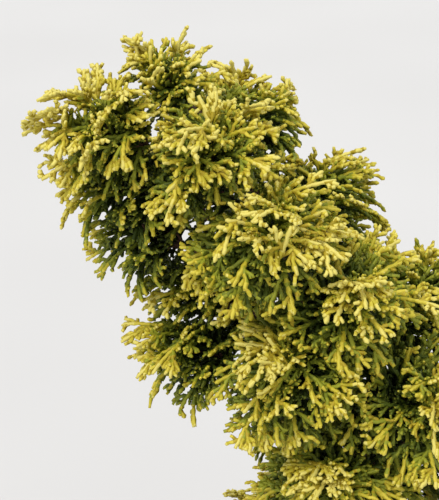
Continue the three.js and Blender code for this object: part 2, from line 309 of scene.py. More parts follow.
def finished_frond(mass_index, base, axis, span, outward, random, on_limb):
    """A frond's record, with its face turned up and outward and its arch drawn."""
    jitter = np.array([random() - 0.5, random() - 0.5, random() - 0.5])
    face = FROND_FACE_UP * UP + FROND_FACE_OUT * outward + FROND_FACE_JITTER * jitter
    face = unit(face - (face @ axis) * axis)
    return {
        "mass": mass_index,
        "base": base,
        "axis": axis,
        "face": face,
        "across": np.cross(axis, face),
        "span": span,
        "arch": LEAST_ARCH + MORE_ARCH * random(),
        "random": random,
        "on_limb": on_limb,
    }


def frond_frame(mass, k):
    random = generator(SEEDS_A_MASS * (mass.index + 1) + k)
    polar = math.acos(1 - (k * POLAR_STRIDE % 1) * (1 - math.cos(FROND_SPREAD)))
    turn = 2 * math.pi * (k * TURN_STRIDE % 1)
    swell = LONG_SWELL if k < LONG_FRONDS else SHORT_SWELL
    if k >= OUTER_FRONDS:
        swell = INNER_SWELL
    swell += MORE_SWELL * random()
    length, girth, depth = mass.sizes
    tip = mass.centre + length * math.cos(polar) * swell * mass.along
    tip = tip + girth * math.sin(polar) * math.cos(turn) * swell * mass.side
    tip = tip + depth * math.sin(polar) * math.sin(turn) * swell * mass.over
    offset = tip - mass.centre
    axial = offset @ mass.along
    lateral = np.linalg.norm(offset - axial * mass.along)
    wanted = min(axial - lateral / math.tan(FROND_SPLAY), 0)
    lowest = max(ROOT_SINK - mass.inside, -FROND_REAR * mass.spread)
    base = mass.centre + max(wanted, lowest) * mass.along
    span = np.linalg.norm(tip - base)
    axis = (tip - base) / span
    return finished_frond(mass.index, base, axis, span, mass.outward, random, False)


fronds = [frond_frame(mass, k) for mass in masses for k in range(FRONDS_GROWN)]
print("fronds:", len(fronds))

# %% [markdown]
# The boughs and the trunk, but for its lowest six centimetres, carry short fronds of their own,
# each turned on from the last by the golden angle. Each belongs to the mass that its tip lies
# deepest in.

# %%
GOLDEN_ANGLE = math.pi * (3 - math.sqrt(5))
STALK_SHARE = 0.14
LOWEST_LIMB_FROND = 190.0
TRUNK_FROND_STEP = 1.5
BOUGH_FROND_STEP = 3.0
FIRST_ON_BOUGH = 0.3
LIMB_FROND_LEAST = 16.0
LIMB_FROND_MORE = 10.0
LIMB_FROND_OFF = 0.2
SLANT_FORWARD = 0.45
SLANT_UP = 0.1
ASKEW = np.array([0.3, 1.0, 0.2])
TRUNK_FROND_SEED = 90000
BOUGH_FROND_SEED = 91000
SEEDS_A_BOUGH = 100
LAST_ON_TRUNK = 0.98
LAST_ON_BOUGH = 0.97
CURVE_STEP = 0.01
LENGTH_STEPS = 50


def limb_frond(seed, foot, radius, way, turn):
    """A short frond that leaves a limb slanted forward along the limb's way."""
    random = generator(seed)
    side = unit(np.cross(way, ASKEW))
    outward = math.cos(turn) * side + math.sin(turn) * np.cross(way, side)
    axis = unit(outward + SLANT_FORWARD * way + SLANT_UP * UP)
    span = LIMB_FROND_LEAST + LIMB_FROND_MORE * random()
    seat = (radius + LIMB_MARGIN + LIMB_FROND_OFF) / (axis @ outward) - STALK_SHARE * span
    base = foot + seat * axis
    deepest = int(np.argmin(depths((base + span * axis)[None])[0]))
    return finished_frond(deepest, base, axis, span, way, random, True)


def fronds_on_limb(seed, curve, radius, shares):
    """Fronds at the given shares of a limb's curve."""
    made = []
    for number, share in enumerate(shares):
        way = unit(curve(share + CURVE_STEP) - curve(share - CURVE_STEP))
        turn = (seed + number) * GOLDEN_ANGLE
        made.append(limb_frond(seed + number, curve(share), radius(share), way, turn))
    return made


trunk_line = np.array([trunk_point(i / LENGTH_STEPS) for i in range(LENGTH_STEPS + 1)])
trunk_length = np.linalg.norm(np.diff(trunk_line, axis=0), axis=1).sum()
lowest = share_at_height(LOWEST_LIMB_FROND)
shares = np.arange(lowest, LAST_ON_TRUNK, TRUNK_FROND_STEP / trunk_length)
fronds += fronds_on_limb(TRUNK_FROND_SEED, trunk_point, trunk_radius, shares)
for mass in masses:
    if not mass.from_tip:
        step = BOUGH_FROND_STEP / np.linalg.norm(mass.entry - mass.start)
        shares = np.arange(FIRST_ON_BOUGH, LAST_ON_BOUGH, step)
        seed = BOUGH_FROND_SEED + SEEDS_A_BOUGH * mass.index
        fronds += fronds_on_limb(seed, mass.bough, mass.bough_radius, shares)
print("fronds with those on the limbs:", len(fronds))

# %% [markdown]
# ## Shoots
#
# A frond's rib carries side shoots in turn to its left and right, within the same toothed outline
# as the source's blade. A side shoot turns a little at each of its twigs, and a long one forks. Its
# twigs stand on both sides, longest near its foot, as on a real scale-leaved spray.

# %%
RING_STEP = 1.25
RIB_SWAY = 0.025
TIP_FREE = 1.5
SIDE_STEP = 8.0
SIDE_STEP_RANGE = (0.8, 1.2)
FIRST_SIDE = (0.4, 1.6)
SIDE_LENGTH = (0.42, 0.92)
SIDE_TURN = (0.88, 1.12)
SIDE_BEND = 0.3
SIDE_LIFT = 0.3
FIRST_REACH = 0.45
LEVEL_WITH_TIP = 0.99
PAST_TIP = 1.2
FORK_FROM = 9.5
FORK_PLACE = (0.35, 0.6)
FORK_ANGLE = math.radians(38)
FORK_LENGTH = 0.62
FORK_LIFT = (-0.2, 0.3)
ZIGZAG = 0.26
TURNED_BACK = 0.85
FIRST_TWIG = (1.6, 2.4)
TWIG_TIP_FREE = 0.8
TWIG_STEP = 4.5
TWIG_STEP_RANGE = (0.8, 1.3)
TWIG_LEAST = 2.9
TWIG_SWELL = 0.24
TWIG_MOST = 4.8
TWIG_LENGTH = (0.75, 1.2)
TWIG_ANGLE = math.radians(50)
TWIG_TURN = (0.85, 1.15)
TWIG_BEND = 0.25
TWIG_LIFT = (-0.45, 0.55)
TWIG_FORK_FROM = 3.7
TWIG_FORK_LENGTH = 2.7
TWIG_FORK_ANGLE = math.radians(45)
TWIG_FORK_BEND = 0.2
RIB, SIDE, TWIG = 0, 1, 2
BARE_DEPTH = 0.32


def between(random, low, high):
    return low + (high - low) * random()


class Shoots:
    """Every shoot as a run of points in its own frond's x, y and z."""

    def __init__(self):
        self.points = []
        self.starts = []
        self.fronds = []
        self.orders = []
        self.parents = []
        self.feet = []

    def grow(self, frond, order, parent, foot, origin, angle, length, bend, lift, wave=0.0):
        """Adds a shoot from origin, and returns its number and its points."""
        count = max(2, int(round(length / RING_STEP)))
        step = length / count
        x, y, z = origin
        run = [(x, y, z)]
        for i in range(count):
            heading = angle * (1 - bend * (i + 0.5) / count)
            heading += wave * math.sin(2 * math.pi * (i + 0.5) * step / TWIG_STEP)
            x += step * math.sin(heading)
            y += step * math.cos(heading)
            z += step * lift
            run.append((x, y, z))
        self.starts.append(len(self.points))
        self.points.extend(run)
        self.fronds.append(frond)
        self.orders.append(order)
        self.parents.append(parent)
        self.feet.append(foot)
        return len(self.starts) - 1, run


shoots = Shoots()


def side_reach(share, span):
    """How long a side shoot may be at a share of the rib, within the blade's toothed outline."""
    width = FROND_WIDTH * span
    if share < FROND_FIRST_TOOTH:
        return width * (FIRST_REACH + (1 - FIRST_REACH) * share / FROND_FIRST_TOOTH)
    return width * (1 - FROND_TOOTH_SHRINK * (share - FROND_FIRST_TOOTH))


def grow_frond(number, frond):
    span = frond["span"]
    random = frond["random"]
    sway = between(random, -RIB_SWAY, RIB_SWAY)
    first = STALK_SHARE * span
    origin = (0.0, first, 0.0)
    rib, rib_run = shoots.grow(number, RIB, -1, 0, origin, sway, span - first, 0.0, 0.0)
    y = first + between(random, *FIRST_SIDE)
    side = 1 if random() > 0.5 else -1
    while y < span - TIP_FREE:
        length = side_reach(y / span, span) * between(random, *SIDE_LENGTH)
        angle = FROND_TOOTH_ANGLE * between(random, *SIDE_TURN)
        level = (LEVEL_WITH_TIP * span - y) / math.cos(angle * TURNED_BACK) + PAST_TIP
        foot = min(int((y - first) / RING_STEP), len(rib_run) - 2)
        x, _, z = rib_run[foot]
        lift = between(random, -SIDE_LIFT, SIDE_LIFT)
        place = (x, y, z)
        grow_side(number, random, rib, foot, place, side * angle, min(length, level), lift)
        side = -side
        y += SIDE_STEP / 2 * between(random, *SIDE_STEP_RANGE)


def grow_side(number, random, parent, foot, origin, angle, length, lift):
    """A side shoot that turns a little at each of its twigs, and forks once when it is long."""
    hand = 1 if random() > 0.5 else -1
    wave = hand * ZIGZAG
    shoot, run = shoots.grow(
        number, SIDE, parent, foot, origin, angle, length, SIDE_BEND, lift, wave
    )
    grow_twigs(number, random, shoot, run, angle, length, lift, -hand)
    if length > FORK_FROM:
        middle = int(between(random, *FORK_PLACE) * len(run))
        heading = angle * TURNED_BACK - hand * FORK_ANGLE
        part = FORK_LENGTH * (length - middle * RING_STEP)
        tilt = lift + between(random, *FORK_LIFT)
        fork, fork_run = shoots.grow(
            number, SIDE, shoot, middle, run[middle], heading, part, SIDE_BEND, tilt, -wave
        )
        grow_twigs(number, random, fork, fork_run, heading, part, tilt, hand)


def grow_twigs(number, random, parent, run, angle, length, lift, hand):
    """Short shoots on both sides of a side shoot, longest near its foot."""
    travelled = between(random, *FIRST_TWIG)
    while travelled < length - TWIG_TIP_FREE:
        foot = min(int(travelled / RING_STEP), len(run) - 2)
        most = min(TWIG_LEAST + TWIG_SWELL * (length - travelled), TWIG_MOST)
        size = most * between(random, *TWIG_LENGTH)
        heading = angle * TURNED_BACK + hand * TWIG_ANGLE * between(random, *TWIG_TURN)
        tilt = lift + between(random, *TWIG_LIFT)
        twig, twig_run = shoots.grow(
            number, TWIG, parent, foot, run[foot], heading, size, TWIG_BEND, tilt
        )
        if size > TWIG_FORK_FROM:
            fork = heading - hand * TWIG_FORK_ANGLE
            middle = len(twig_run) // 2
            start = twig_run[middle]
            shoots.grow(
                number, TWIG, twig, middle, start, fork, TWIG_FORK_LENGTH, TWIG_FORK_BEND, tilt
            )
        hand = -hand
        travelled += TWIG_STEP / 2 * between(random, *TWIG_STEP_RANGE)


for number, frond in enumerate(fronds):
    grow_frond(number, frond)
print("shoots:", len(shoots.starts), "points:", len(shoots.points))

# %% [markdown]
# ## Which shoots stay
#
# The points go from the fronds' own measures into the frame. A shoot ends before it would touch a
# limb or stand more than a tenth out of its mass, and a shoot whose foot is gone is skipped. Shoots
# of neighbouring masses pass each other by about a millimetre, so no seam shows between them. The
# fronds that grow on a limb start in its bark. They fill the room between the masses, so they may
# stand further out of their mass and pass its neighbours by some millimetres.

# %%
MASS_DEPTH = 1.1
INTERLEAVE = 0.04
LIMB_FROND_DEPTH = 1.6
LIMB_FROND_INTERLEAVE = 0.2
LIMB_FROND_SHADE = 0.68
LEAST_POINTS = 3

starts = np.array(shoots.starts)
counts = np.diff(np.append(starts, len(shoots.points)))
frond_of_shoot = np.array(shoots.fronds)
shoot_of_point = np.repeat(np.arange(len(starts)), counts)
frond_of_point = frond_of_shoot[shoot_of_point]
order_of_shoot = np.array(shoots.orders)
local = np.array(shoots.points)


def gathered(key):
    return np.array([frond[key] for frond in fronds])


spans = gathered("span")
shares_of_point = local[:, 1] / spans[frond_of_point]
rises = (gathered("arch") * spans)[frond_of_point]
arch = rises * 4 * shares_of_point * (1 - shares_of_point) - FROND_CURL * local[:, 0] ** 2
places = gathered("base")[frond_of_point]
places = places + gathered("across")[frond_of_point] * local[:, :1]
places = places + gathered("axis")[frond_of_point] * local[:, 1:2]
places = places + gathered("face")[frond_of_point] * (local[:, 2] + arch)[:, None]

mass_of_point = gathered("mass")[frond_of_point]
all_depths = depths(places)
own = all_depths[np.arange(len(places)), mass_of_point]
others = all_depths.copy()
others[np.arange(len(places)), mass_of_point] = np.inf
on_limb = gathered("on_limb")[frond_of_point]
most = np.where(on_limb, LIMB_FROND_DEPTH, MASS_DEPTH)
past = np.where(on_limb, LIMB_FROND_INTERLEAVE, INTERLEAVE)
free = (own < most) & (own < others.min(1) + past) & clear_of_limbs(places)
roots = starts[(order_of_shoot == RIB) & gathered("on_limb")[frond_of_shoot]]
free[roots] = True
free[roots + 1] = True

kept = np.zeros(len(starts), int)
for shoot in range(len(starts)):
    parent = shoots.parents[shoot]
    if parent >= 0 and kept[parent] <= shoots.feet[shoot]:
        continue
    run = free[starts[shoot] : starts[shoot] + counts[shoot]]
    stop = len(run) if run.all() else int(np.argmin(run))
    kept[shoot] = stop if stop >= LEAST_POINTS else 0
print("shoots kept:", int((kept > 0).sum()), "of", len(kept))

# %% [markdown]
# ## Painted light and shade, dealt out by spray
#
# The foliage tones paint light and shade into the colour. The light on a shoot comes from how much
# of the sky its tip sees past the other masses, from its height in its mass and from a draw for its
# spray. Rings that lie further out in the mass or along the spray are painted lighter. So tips in
# the light are gold, and shoots deeper in are lime, green and at last a deep shade green. The gold
# and green are partly the plant's own colours, and the darkening to a near-black green is painted
# shade.
# Every tone is one plain material.

# %%
# Darkest to lightest, the tones paint shade and light over the plant's own green and gold.
TONES = {
    "foliage_shade": (0.020, 0.032, 0.003),
    "foliage_deep": (0.044, 0.068, 0.006),
    "foliage_moss": (0.095, 0.130, 0.010),
    "foliage_leaf": (0.185, 0.215, 0.018),
    "foliage_lime": (0.310, 0.330, 0.024),
    "foliage_gold": (0.520, 0.440, 0.028),
    "foliage_bright": (0.655, 0.548, 0.054),
    "foliage_cream": (0.760, 0.660, 0.150),
    "foliage_amber": (0.450, 0.345, 0.024),
}
AMBER = len(TONES) - 1
BRIGHTEST = len(TONES) - 2
AMBER_FROM = 5
AMBER_SHARE = 0.3
TONES_ACROSS = 7
DEPTH_LIGHT = 0.84
RISE_LIGHT = 0.07
SKY_LIGHT = 0.68
LIGHT_OFFSET = -0.46
SPRAY_LIGHT = 0.22
SPRAY_MIDDLE = 0.58
SPRAY_JITTER = 0.08
SHOOT_JITTER = 0.04
VEIL_REACH = 1.15
VEIL_WEIGHT = 1.1
LEAF_ROUGHNESS = 0.55
LEAF_SHEEN = 0.3
COLOUR_SEED = 7
PARTS = [5, 25, 50, 75, 95]


def plain_material(name, colour):
    material = bpy.data.materials.new(name)
    material.use_nodes = True
    shader = material.node_tree.nodes["Principled BSDF"]
    shader.inputs["Base Color"].default_value = (*colour, 1)
    shader.inputs["Roughness"].default_value = LEAF_ROUGHNESS
    shader.inputs["Specular IOR Level"].default_value = LEAF_SHEEN
    return material


tones = [plain_material(name, colour) for name, colour in TONES.items()]

tip_of_shoot = starts + np.maximum(kept - 1, 0)
tip_places = places[tip_of_shoot]
tip_mass = mass_of_point[tip_of_shoot]
shaded = np.where(on_limb, np.minimum(own, LIMB_FROND_SHADE), own)
outer = shaded[tip_of_shoot]
bare = (order_of_shoot == TWIG) & (outer < BARE_DEPTH)
kept[bare] = 0
print("shoots left after the bare middles:", int((kept > 0).sum()))
tip_offsets = (tip_places - centres[tip_mass]) / gathered("span")[frond_of_shoot][:, None]
dice = np.random.default_rng(COLOUR_SEED)
spray_dice = dice.normal(0, SPRAY_JITTER, len(fronds))[frond_of_shoot]

# %% [markdown]
# The sky is nine directions with a weight each, heaviest to the left and above, from where the
# light in the photograph comes. The shade that the other masses cast under it is painted into the
# tones.

# %%
SKY = [
    ((0, 0, 1), 1.2),
    ((-0.7, -0.9, 1.7), 1.6),
    ((-1, -0.3, 0.7), 1.2),
    ((1, 0, 0.8), 0.8),
    ((0, -1, 0.7), 1.0),
    ((0, 1, 0.7), 0.8),
    ((-1, -0.3, 0), 2.4),
    ((1, 0, 0.1), 0.6),
    ((0, 1, 0.1), 0.6),
]


def open_sky(points):
    """The share of the sky that each point sees past the other masses, as if they were veils."""
    seen = np.zeros(len(points))
    spreads = np.array([mass.spread for mass in masses])[None]
    total = 0.0
    for direction, weight in SKY:
        way = unit(np.array(direction, float))
        offsets = centres[None] - points[:, None]
        ahead = offsets @ way
        nearest = np.linalg.norm(offsets - ahead[:, :, None] * way, axis=2)
        veil = np.clip(VEIL_REACH - nearest / spreads, 0, 1) * np.clip(ahead / spreads, 0, 1)
        seen += weight * np.exp(-VEIL_WEIGHT * veil.sum(1))
        total += weight
    return seen / total


sky = open_sky(tip_places)
light = RISE_LIGHT * tip_offsets[:, 2] + SKY_LIGHT * sky + LIGHT_OFFSET + spray_dice
light = light + dice.normal(0, SHOOT_JITTER, len(light))
# Points deeper in the mass and nearer the foot of the spray get painted shade.
along_spray = SPRAY_LIGHT * (shares_of_point - SPRAY_MIDDLE)
light_of_point = DEPTH_LIGHT * shaded + light[shoot_of_point] + along_spray
print("sky", np.round(np.percentile(sky, PARTS), 2))
print("light", np.round(np.percentile(light_of_point[tip_of_shoot], PARTS), 2))

# %% [markdown]
# ## Shoots as meshes
#
# A shoot is a four-sided cord whose rings swell in turn across and off the spray, like pairs of
# scale leaves, with a blunt tip. Shoots deep inside or in the shade have three sides and a third of
# the rings. All shoots of one length are made together from arrays.

# %%
HALF_WIDTH = 0.85
HALF_DEPTH = 0.72
SCALE_SWELL = 0.2
SLIM = 0.88
SLIM_DEPTH = 0.5
PLUMP_DEPTH = 0.85
FOOT_TAPER = 0.75
TIP_TAPER = 0.62
RINGS_SKIPPED = 2
LIGHTER_SHARE = 0.62
PLAIN_DEPTH = 0.79
PLAIN_LIGHT = 0.2
TONE_JITTER = 0.3
TIP_ROUND = 0.58
CORNERS = {
    4: np.array([[1, 0], [0, 1], [-1, 0], [0, -1]], float),
    3: np.array([[1.1, -0.5], [0, 1], [-1.1, -0.5]], float),
}


def run_frames(runs, faces):
    """Directions across and off the spray at every ring of the runs."""
    tangents = np.gradient(runs, axis=1)
    tangents /= np.linalg.norm(tangents, axis=2, keepdims=True)
    sides = np.cross(tangents, faces[:, None, :])
    sides /= np.linalg.norm(sides, axis=2, keepdims=True)
    return sides, np.cross(sides, tangents)


def cords(runs, faces, width, depth, swell, n):
    """Vertices, corners and face sizes of closed cords with n sides, along runs of one length."""
    number, rings, _ = runs.shape
    runs[:, -1] = runs[:, -2] + TIP_ROUND * (runs[:, -1] - runs[:, -2])
    sides, overs = run_frames(runs, faces)
    beat = np.where(np.arange(rings) % 2 == 0, 1.0, -1.0)
    taper = np.ones(rings)
    taper[0] = FOOT_TAPER
    taper[-1] = TIP_TAPER
    wide = width[:, None] * taper * (1 + swell * beat)
    deep = depth[:, None] * taper * (1 - swell * beat)
    ring = runs[:, :, None, :]
    ring = ring + sides[:, :, None, :] * (wide[:, :, None] * CORNERS[n][:, 0])[..., None]
    ring = ring + overs[:, :, None, :] * (deep[:, :, None] * CORNERS[n][:, 1])[..., None]
    vertices = ring.reshape(-1, 3)
    around = np.arange(n)
    a = np.arange(rings - 1)[:, None] * n
    here = a + around
    there = a + (around + 1) % n
    walls = np.stack([here, there, there + n, here + n], axis=2).ravel()
    loops = np.concatenate([walls, around[::-1], (rings - 1) * n + around])
    loops = np.arange(number)[:, None] * rings * n + loops
    sizes = np.tile(np.r_[np.full(n * (rings - 1), 4), n, n], number)
    return vertices, loops.ravel(), sizes


def linked_object(name, mesh):
    """An object of a mesh, linked to the scene."""
    piece = bpy.data.objects.new(name, mesh)
    bpy.context.collection.objects.link(piece)
    return piece


def mesh_object(name, vertices, loops, sizes, materials, indices):
    """One object from arrays in millimetres, with a size and a material's number for each face."""
    mesh = bpy.data.meshes.new(name)
    mesh.vertices.add(len(vertices))
    mesh.vertices.foreach_set("co", (vertices * MM).astype(np.float32).ravel())
    mesh.loops.add(len(loops))
    mesh.loops.foreach_set("vertex_index", loops.astype(np.int32))
    mesh.polygons.add(len(sizes))
    mesh.polygons.foreach_set("loop_start", (np.cumsum(sizes) - sizes).astype(np.int32))
    for material in materials:
        mesh.materials.append(material)
    mesh.polygons.foreach_set("material_index", indices.astype(np.int32))
    mesh.polygons.foreach_set("use_smooth", np.ones(len(sizes), bool))
    mesh.update(calc_edges=True)
    mesh.validate()
    return linked_object(name, mesh)


def foliage_of(mass):
    """Vertices, corners, face sizes and materials' numbers of all the shoots of one mass."""
    mine = np.flatnonzero((kept > 0) & (gathered_mass[frond_of_shoot] == mass.index))
    vertices, corners, sizes, indices, total = [], [], [], [], 0
    plain = (outer[mine] < PLAIN_DEPTH) | (light_of_point[tip_of_shoot[mine]] < PLAIN_LIGHT)
    for points, coarse in sorted(set(zip(kept[mine].tolist(), plain.tolist()))):
        chosen = mine[(kept[mine] == points) & (plain == coarse)]
        places_kept = np.unique(np.r_[0 : points : 1 + RINGS_SKIPPED * coarse, points - 1])
        rings = len(places_kept)
        runs = places[starts[chosen][:, None] + places_kept]
        facing = face_of_frond[frond_of_shoot[chosen]]
        rise = (outer[chosen] - SLIM_DEPTH) / (PLUMP_DEPTH - SLIM_DEPTH)
        plump = SLIM + (1 - SLIM) * np.clip(rise, 0, 1)
        n = 3 if coarse else 4
        wide, deep = HALF_WIDTH * plump, HALF_DEPTH * plump
        shape, loops, counted = cords(runs, facing, wide, deep, SCALE_SWELL, n)
        ring_of_wall = np.append(np.repeat(np.arange(rings - 1), n), [0, rings - 1])
        lit = light_of_point[starts[chosen][:, None] + places_kept][:, ring_of_wall]
        jitter = dice.normal(0, TONE_JITTER, lit.shape)
        tone = np.floor(lit * TONES_ACROSS + jitter).astype(int)
        share = ring_of_wall / (rings - 1)
        # A cord is painted a tone lighter past LIGHTER_SHARE of its length, a painted light.
        step = (share > LIGHTER_SHARE).astype(int)[None]
        vertices.append(shape)
        corners.append(loops + total)
        sizes.append(counted)
        dealt = np.clip(tone + step, 0, BRIGHTEST)
        # Amber at the foot of a bright cord is partly its own colour and partly painted shade in
        # the axil.
        in_axil = (share[None] < AMBER_SHARE) & (dealt >= AMBER_FROM)
        indices.append(np.where(in_axil, AMBER, dealt).ravel())
        total += len(shape)
    return [np.concatenate(part) for part in (vertices, corners, sizes, indices)]


gathered_mass = gathered("mass")
face_of_frond = gathered("face")
drawn = 0
for mass in masses:
    vertices, corners, sizes, indices = foliage_of(mass)
    piece = mesh_object("sprays_" + mass.name, vertices, corners, sizes, tones, indices)
    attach(piece, "root")
    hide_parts("mass_" + mass.name)
    drawn += int((sizes - 2).sum())
print("triangles of foliage:", drawn)

# %% [markdown]
# ## Materials from small parts
#
# A Value is a socket that Python's arithmetic turns into Math nodes. A Surface is a material whose
# nodes are all made by one method.


# %%
class Value:
    def __init__(self, tree, socket):
        self.tree = tree
        self.socket = socket

    def math(self, operation, first, second):
        made = self.tree.nodes.new("ShaderNodeMath")
        made.operation = operation
        for slot, given in enumerate((first, second)):
            if isinstance(given, Value):
                self.tree.links.new(given.socket, made.inputs[slot])
            else:
                made.inputs[slot].default_value = given
        return Value(self.tree, made.outputs[0])

    def __add__(self, other):
        return self.math("ADD", self, other)

    def __sub__(self, other):
        return self.math("SUBTRACT", self, other)

    def __rsub__(self, other):
        return self.math("SUBTRACT", other, self)

    def __mul__(self, other):
        return self.math("MULTIPLY", self, other)

    def above(self, limit, width):
        """A step from 0 to 1 that rises over a width past a limit."""
        rise = (self - limit) * (1 / width)
        return self.math("MAXIMUM", self.math("MINIMUM", rise, 1.0), 0.0)


class Surface:
    def __init__(self, name):
        self.material = bpy.data.materials.new(name)
        self.material.use_nodes = True
        self.tree = self.material.node_tree
        self.shader = self.tree.nodes["Principled BSDF"]

    def node(self, kind, settings, values, output=0):
        """One node: its settings, its inputs as plain values or links, and one of its outputs."""
        made = self.tree.nodes.new(kind)
        for key, given in settings.items():
            setattr(made, key, given)
        for key, given in values.items():
            if isinstance(given, Value):
                self.tree.links.new(given.socket, made.inputs[key])
            else:
                made.inputs[key].default_value = given
        return Value(self.tree, made.outputs[output])

    def place(self, scale=(1, 1, 1)):
        """The object's own coordinates in metres, stretched by a scale."""
        source = self.node("ShaderNodeTexCoord", {}, {}, "Object")
        return self.node("ShaderNodeMapping", {}, {"Vector": source, "Scale": scale})

    def own_map(self, scale=(1, 1, 1)):
        """The piece's own map: metres round it and along it."""
        source = self.node("ShaderNodeUVMap", {"uv_map": "round_and_along"}, {})
        return self.node("ShaderNodeMapping", {}, {"Vector": source, "Scale": scale})

    def noise(self, where, scale, detail=4.0, rough=0.55):
        values = {"Vector": where, "Scale": scale, "Detail": detail, "Roughness": rough}
        return self.node("ShaderNodeTexNoise", {}, values)

    def ramp(self, share, stops):
        """Colours at the given shares of the way from 0 to 1."""
        made = self.tree.nodes.new("ShaderNodeValToRGB")
        elements = made.color_ramp.elements
        while len(elements) < len(stops):
            elements.new(0.5)
        for element, (position, colour) in zip(elements, stops):
            element.position = position
            element.color = (*colour, 1)
        self.tree.links.new(share.socket, made.inputs[0])
        return Value(self.tree, made.outputs["Color"])

    def mixed(self, share, first, second):
        values = {"Factor": share, "A": first, "B": second}
        made = self.tree.nodes.new("ShaderNodeMix")
        made.data_type = "RGBA"
        sockets = {"Factor": made.inputs[0], "A": made.inputs[6], "B": made.inputs[7]}
        for key, given in values.items():
            if isinstance(given, Value):
                self.tree.links.new(given.socket, sockets[key])
            else:
                sockets[key].default_value = (*given, 1)
        return Value(self.tree, made.outputs[2])

    def finish(self, colour, roughness, height=None, strength=0.5, distance=0.0005):
        """Sends the colour, roughness and bump to the shader."""
        self.tree.links.new(colour.socket, self.shader.inputs["Base Color"])
        if isinstance(roughness, Value):
            self.tree.links.new(roughness.socket, self.shader.inputs["Roughness"])
        else:
            self.shader.inputs["Roughness"].default_value = roughness
        if height is not None:
            values = {"Height": height, "Strength": strength, "Distance": distance}
            bump = self.node("ShaderNodeBump", {}, values)
            self.tree.links.new(bump.socket, self.shader.inputs["Normal"])
        return self.material


# %% [markdown]
# ## Bark
#
# False cypress bark is red-brown and peels in long fibres that run along the limb, greyer on the
# ridges. Its furrows are nearly black, a painted shade in the hollows of the relief.

# %%
# The darkest stop falls where the fibres' relief is low: painted shade in the furrows.
FURROW_SHADE_BARK = (0.030, 0.016, 0.010)
RED_BARK = (0.165, 0.078, 0.045)
WARM_BARK = (0.270, 0.150, 0.092)
GREY_BARK = (0.360, 0.270, 0.205)
BARK_STOPS = [(0.36, FURROW_SHADE_BARK), (0.5, RED_BARK), (0.64, WARM_BARK), (0.82, GREY_BARK)]
FIBRE_STRETCH = (1, 0.16, 1)


def bark_material(name, fibre, lift):
    """Bark with a number of fibres a metre, its colours lifted or lowered by a share."""
    surface = Surface(name)
    along = surface.own_map(FIBRE_STRETCH)
    fibres = surface.noise(along, fibre, detail=6.0, rough=0.62)
    blotches = surface.noise(surface.place(), 90.0, detail=3.0)
    colour = surface.ramp(fibres * 0.8 + blotches * 0.35 + lift, BARK_STOPS)
    grain = surface.noise(along, fibre * 2.6)
    relief = fibres + grain * 0.5
    return surface.finish(colour, 0.9 - fibres * 0.15, relief, strength=0.8, distance=0.0006)


trunk_bark = bark_material("bark_trunk", 700.0, -0.02)
bough_bark = bark_material("bark_bough", 900.0, -0.03)
# The twigs' colours are lowered further: painted shade for the stems and stalks inside the masses.
twig_bark = bark_material("bark_twig", 1200.0, -0.12)

# %% [markdown]
# ## Trunk and boughs
#
# A limb is a mesh of rings along its curve. Its relief is a ridged noise that is stretched along
# the limb, so the bark stands in strips.

# %%
TRUNK_AROUND = 72
TRUNK_RINGS = 300
BOUGH_AROUND = 20
BOUGH_RING_STEP = 1.1
TRUNK_RELIEF = 0.7
RELIEF_ALONG = 17.0
WIDE_RIDGES = 2.1
FINE_RIDGES = 4.7
WIDE_SHARE = 0.65
FINE_SHARE = 0.35
RELIEF_SUNK = 0.35
SHIFT_OF_LETTER = 0.37
STEEP = 0.8
BARK_SMOOTH = 60


def limb_mesh(name, centres_along, radii, around, relief, material):
    """A closed limb whose rings lie on given points, with its own map and its bark's relief."""
    tangents = np.gradient(centres_along, axis=0)
    tangents /= np.linalg.norm(tangents, axis=1, keepdims=True)
    chord = unit(centres_along[-1] - centres_along[0])
    reference = np.array([0.0, 1.0, 0.0]) if abs(chord[2]) > STEEP else UP
    across = np.cross(tangents, reference)
    across /= np.linalg.norm(across, axis=1, keepdims=True)
    over = np.cross(across, tangents)
    steps = np.linalg.norm(np.diff(centres_along, axis=0), axis=1)
    travelled = np.concatenate([[0.0], np.cumsum(steps)])
    shift = sum(map(ord, name)) * SHIFT_OF_LETTER
    vertices = []
    for ring in range(len(centres_along)):
        for corner in range(around):
            angle = 2 * math.pi * corner / around
            radius = radii(ring, angle)
            way = travelled[ring] / RELIEF_ALONG + shift
            strip = Vector((math.cos(angle), math.sin(angle), way))
            wide = 1 - 2 * abs(noise.noise(strip * WIDE_RIDGES))
            fine = 1 - 2 * abs(noise.noise(strip * FINE_RIDGES))
            radius += relief * (wide * WIDE_SHARE + fine * FINE_SHARE - RELIEF_SUNK)
            side = math.cos(angle) * across[ring] + math.sin(angle) * over[ring]
            vertices.append(tuple((centres_along[ring] + side * radius) * MM))
    faces = []
    for ring in range(len(centres_along) - 1):
        for corner in range(around):
            following = (corner + 1) % around
            here, there = ring * around + corner, ring * around + following
            faces.append((here, there, there + around, here + around))
    last = (len(centres_along) - 1) * around
    faces.append(tuple(range(around - 1, -1, -1)))
    faces.append(tuple(range(last, last + around)))
    mesh = bpy.data.meshes.new(name)
    mesh.from_pydata(vertices, [], faces)
    own_map = mesh.uv_layers.new(name="round_and_along")
    girth = 2 * math.pi * radii(len(centres_along) // 2, 0.0) * MM
    for face in mesh.polygons:
        corners = [vertex % around for vertex in face.vertices]
        wraps = max(corners) - min(corners) > around / 2
        for loop, corner, vertex in zip(face.loop_indices, corners, face.vertices):
            turn = corner + around if wraps and corner == 0 else corner
            height = travelled[vertex // around] * MM
            own_map.data[loop].uv = (girth * turn / around, height)
    mesh.materials.append(material)
    return linked_object(name, mesh)


def edit(piece):
    """Opens one piece alone in edit mode with everything selected."""
    bpy.ops.object.select_all(action="DESELECT")
    bpy.context.view_layer.objects.active = piece
    piece.select_set(True)
    bpy.ops.object.mode_set(mode="EDIT")
    bpy.ops.mesh.select_all(action="SELECT")


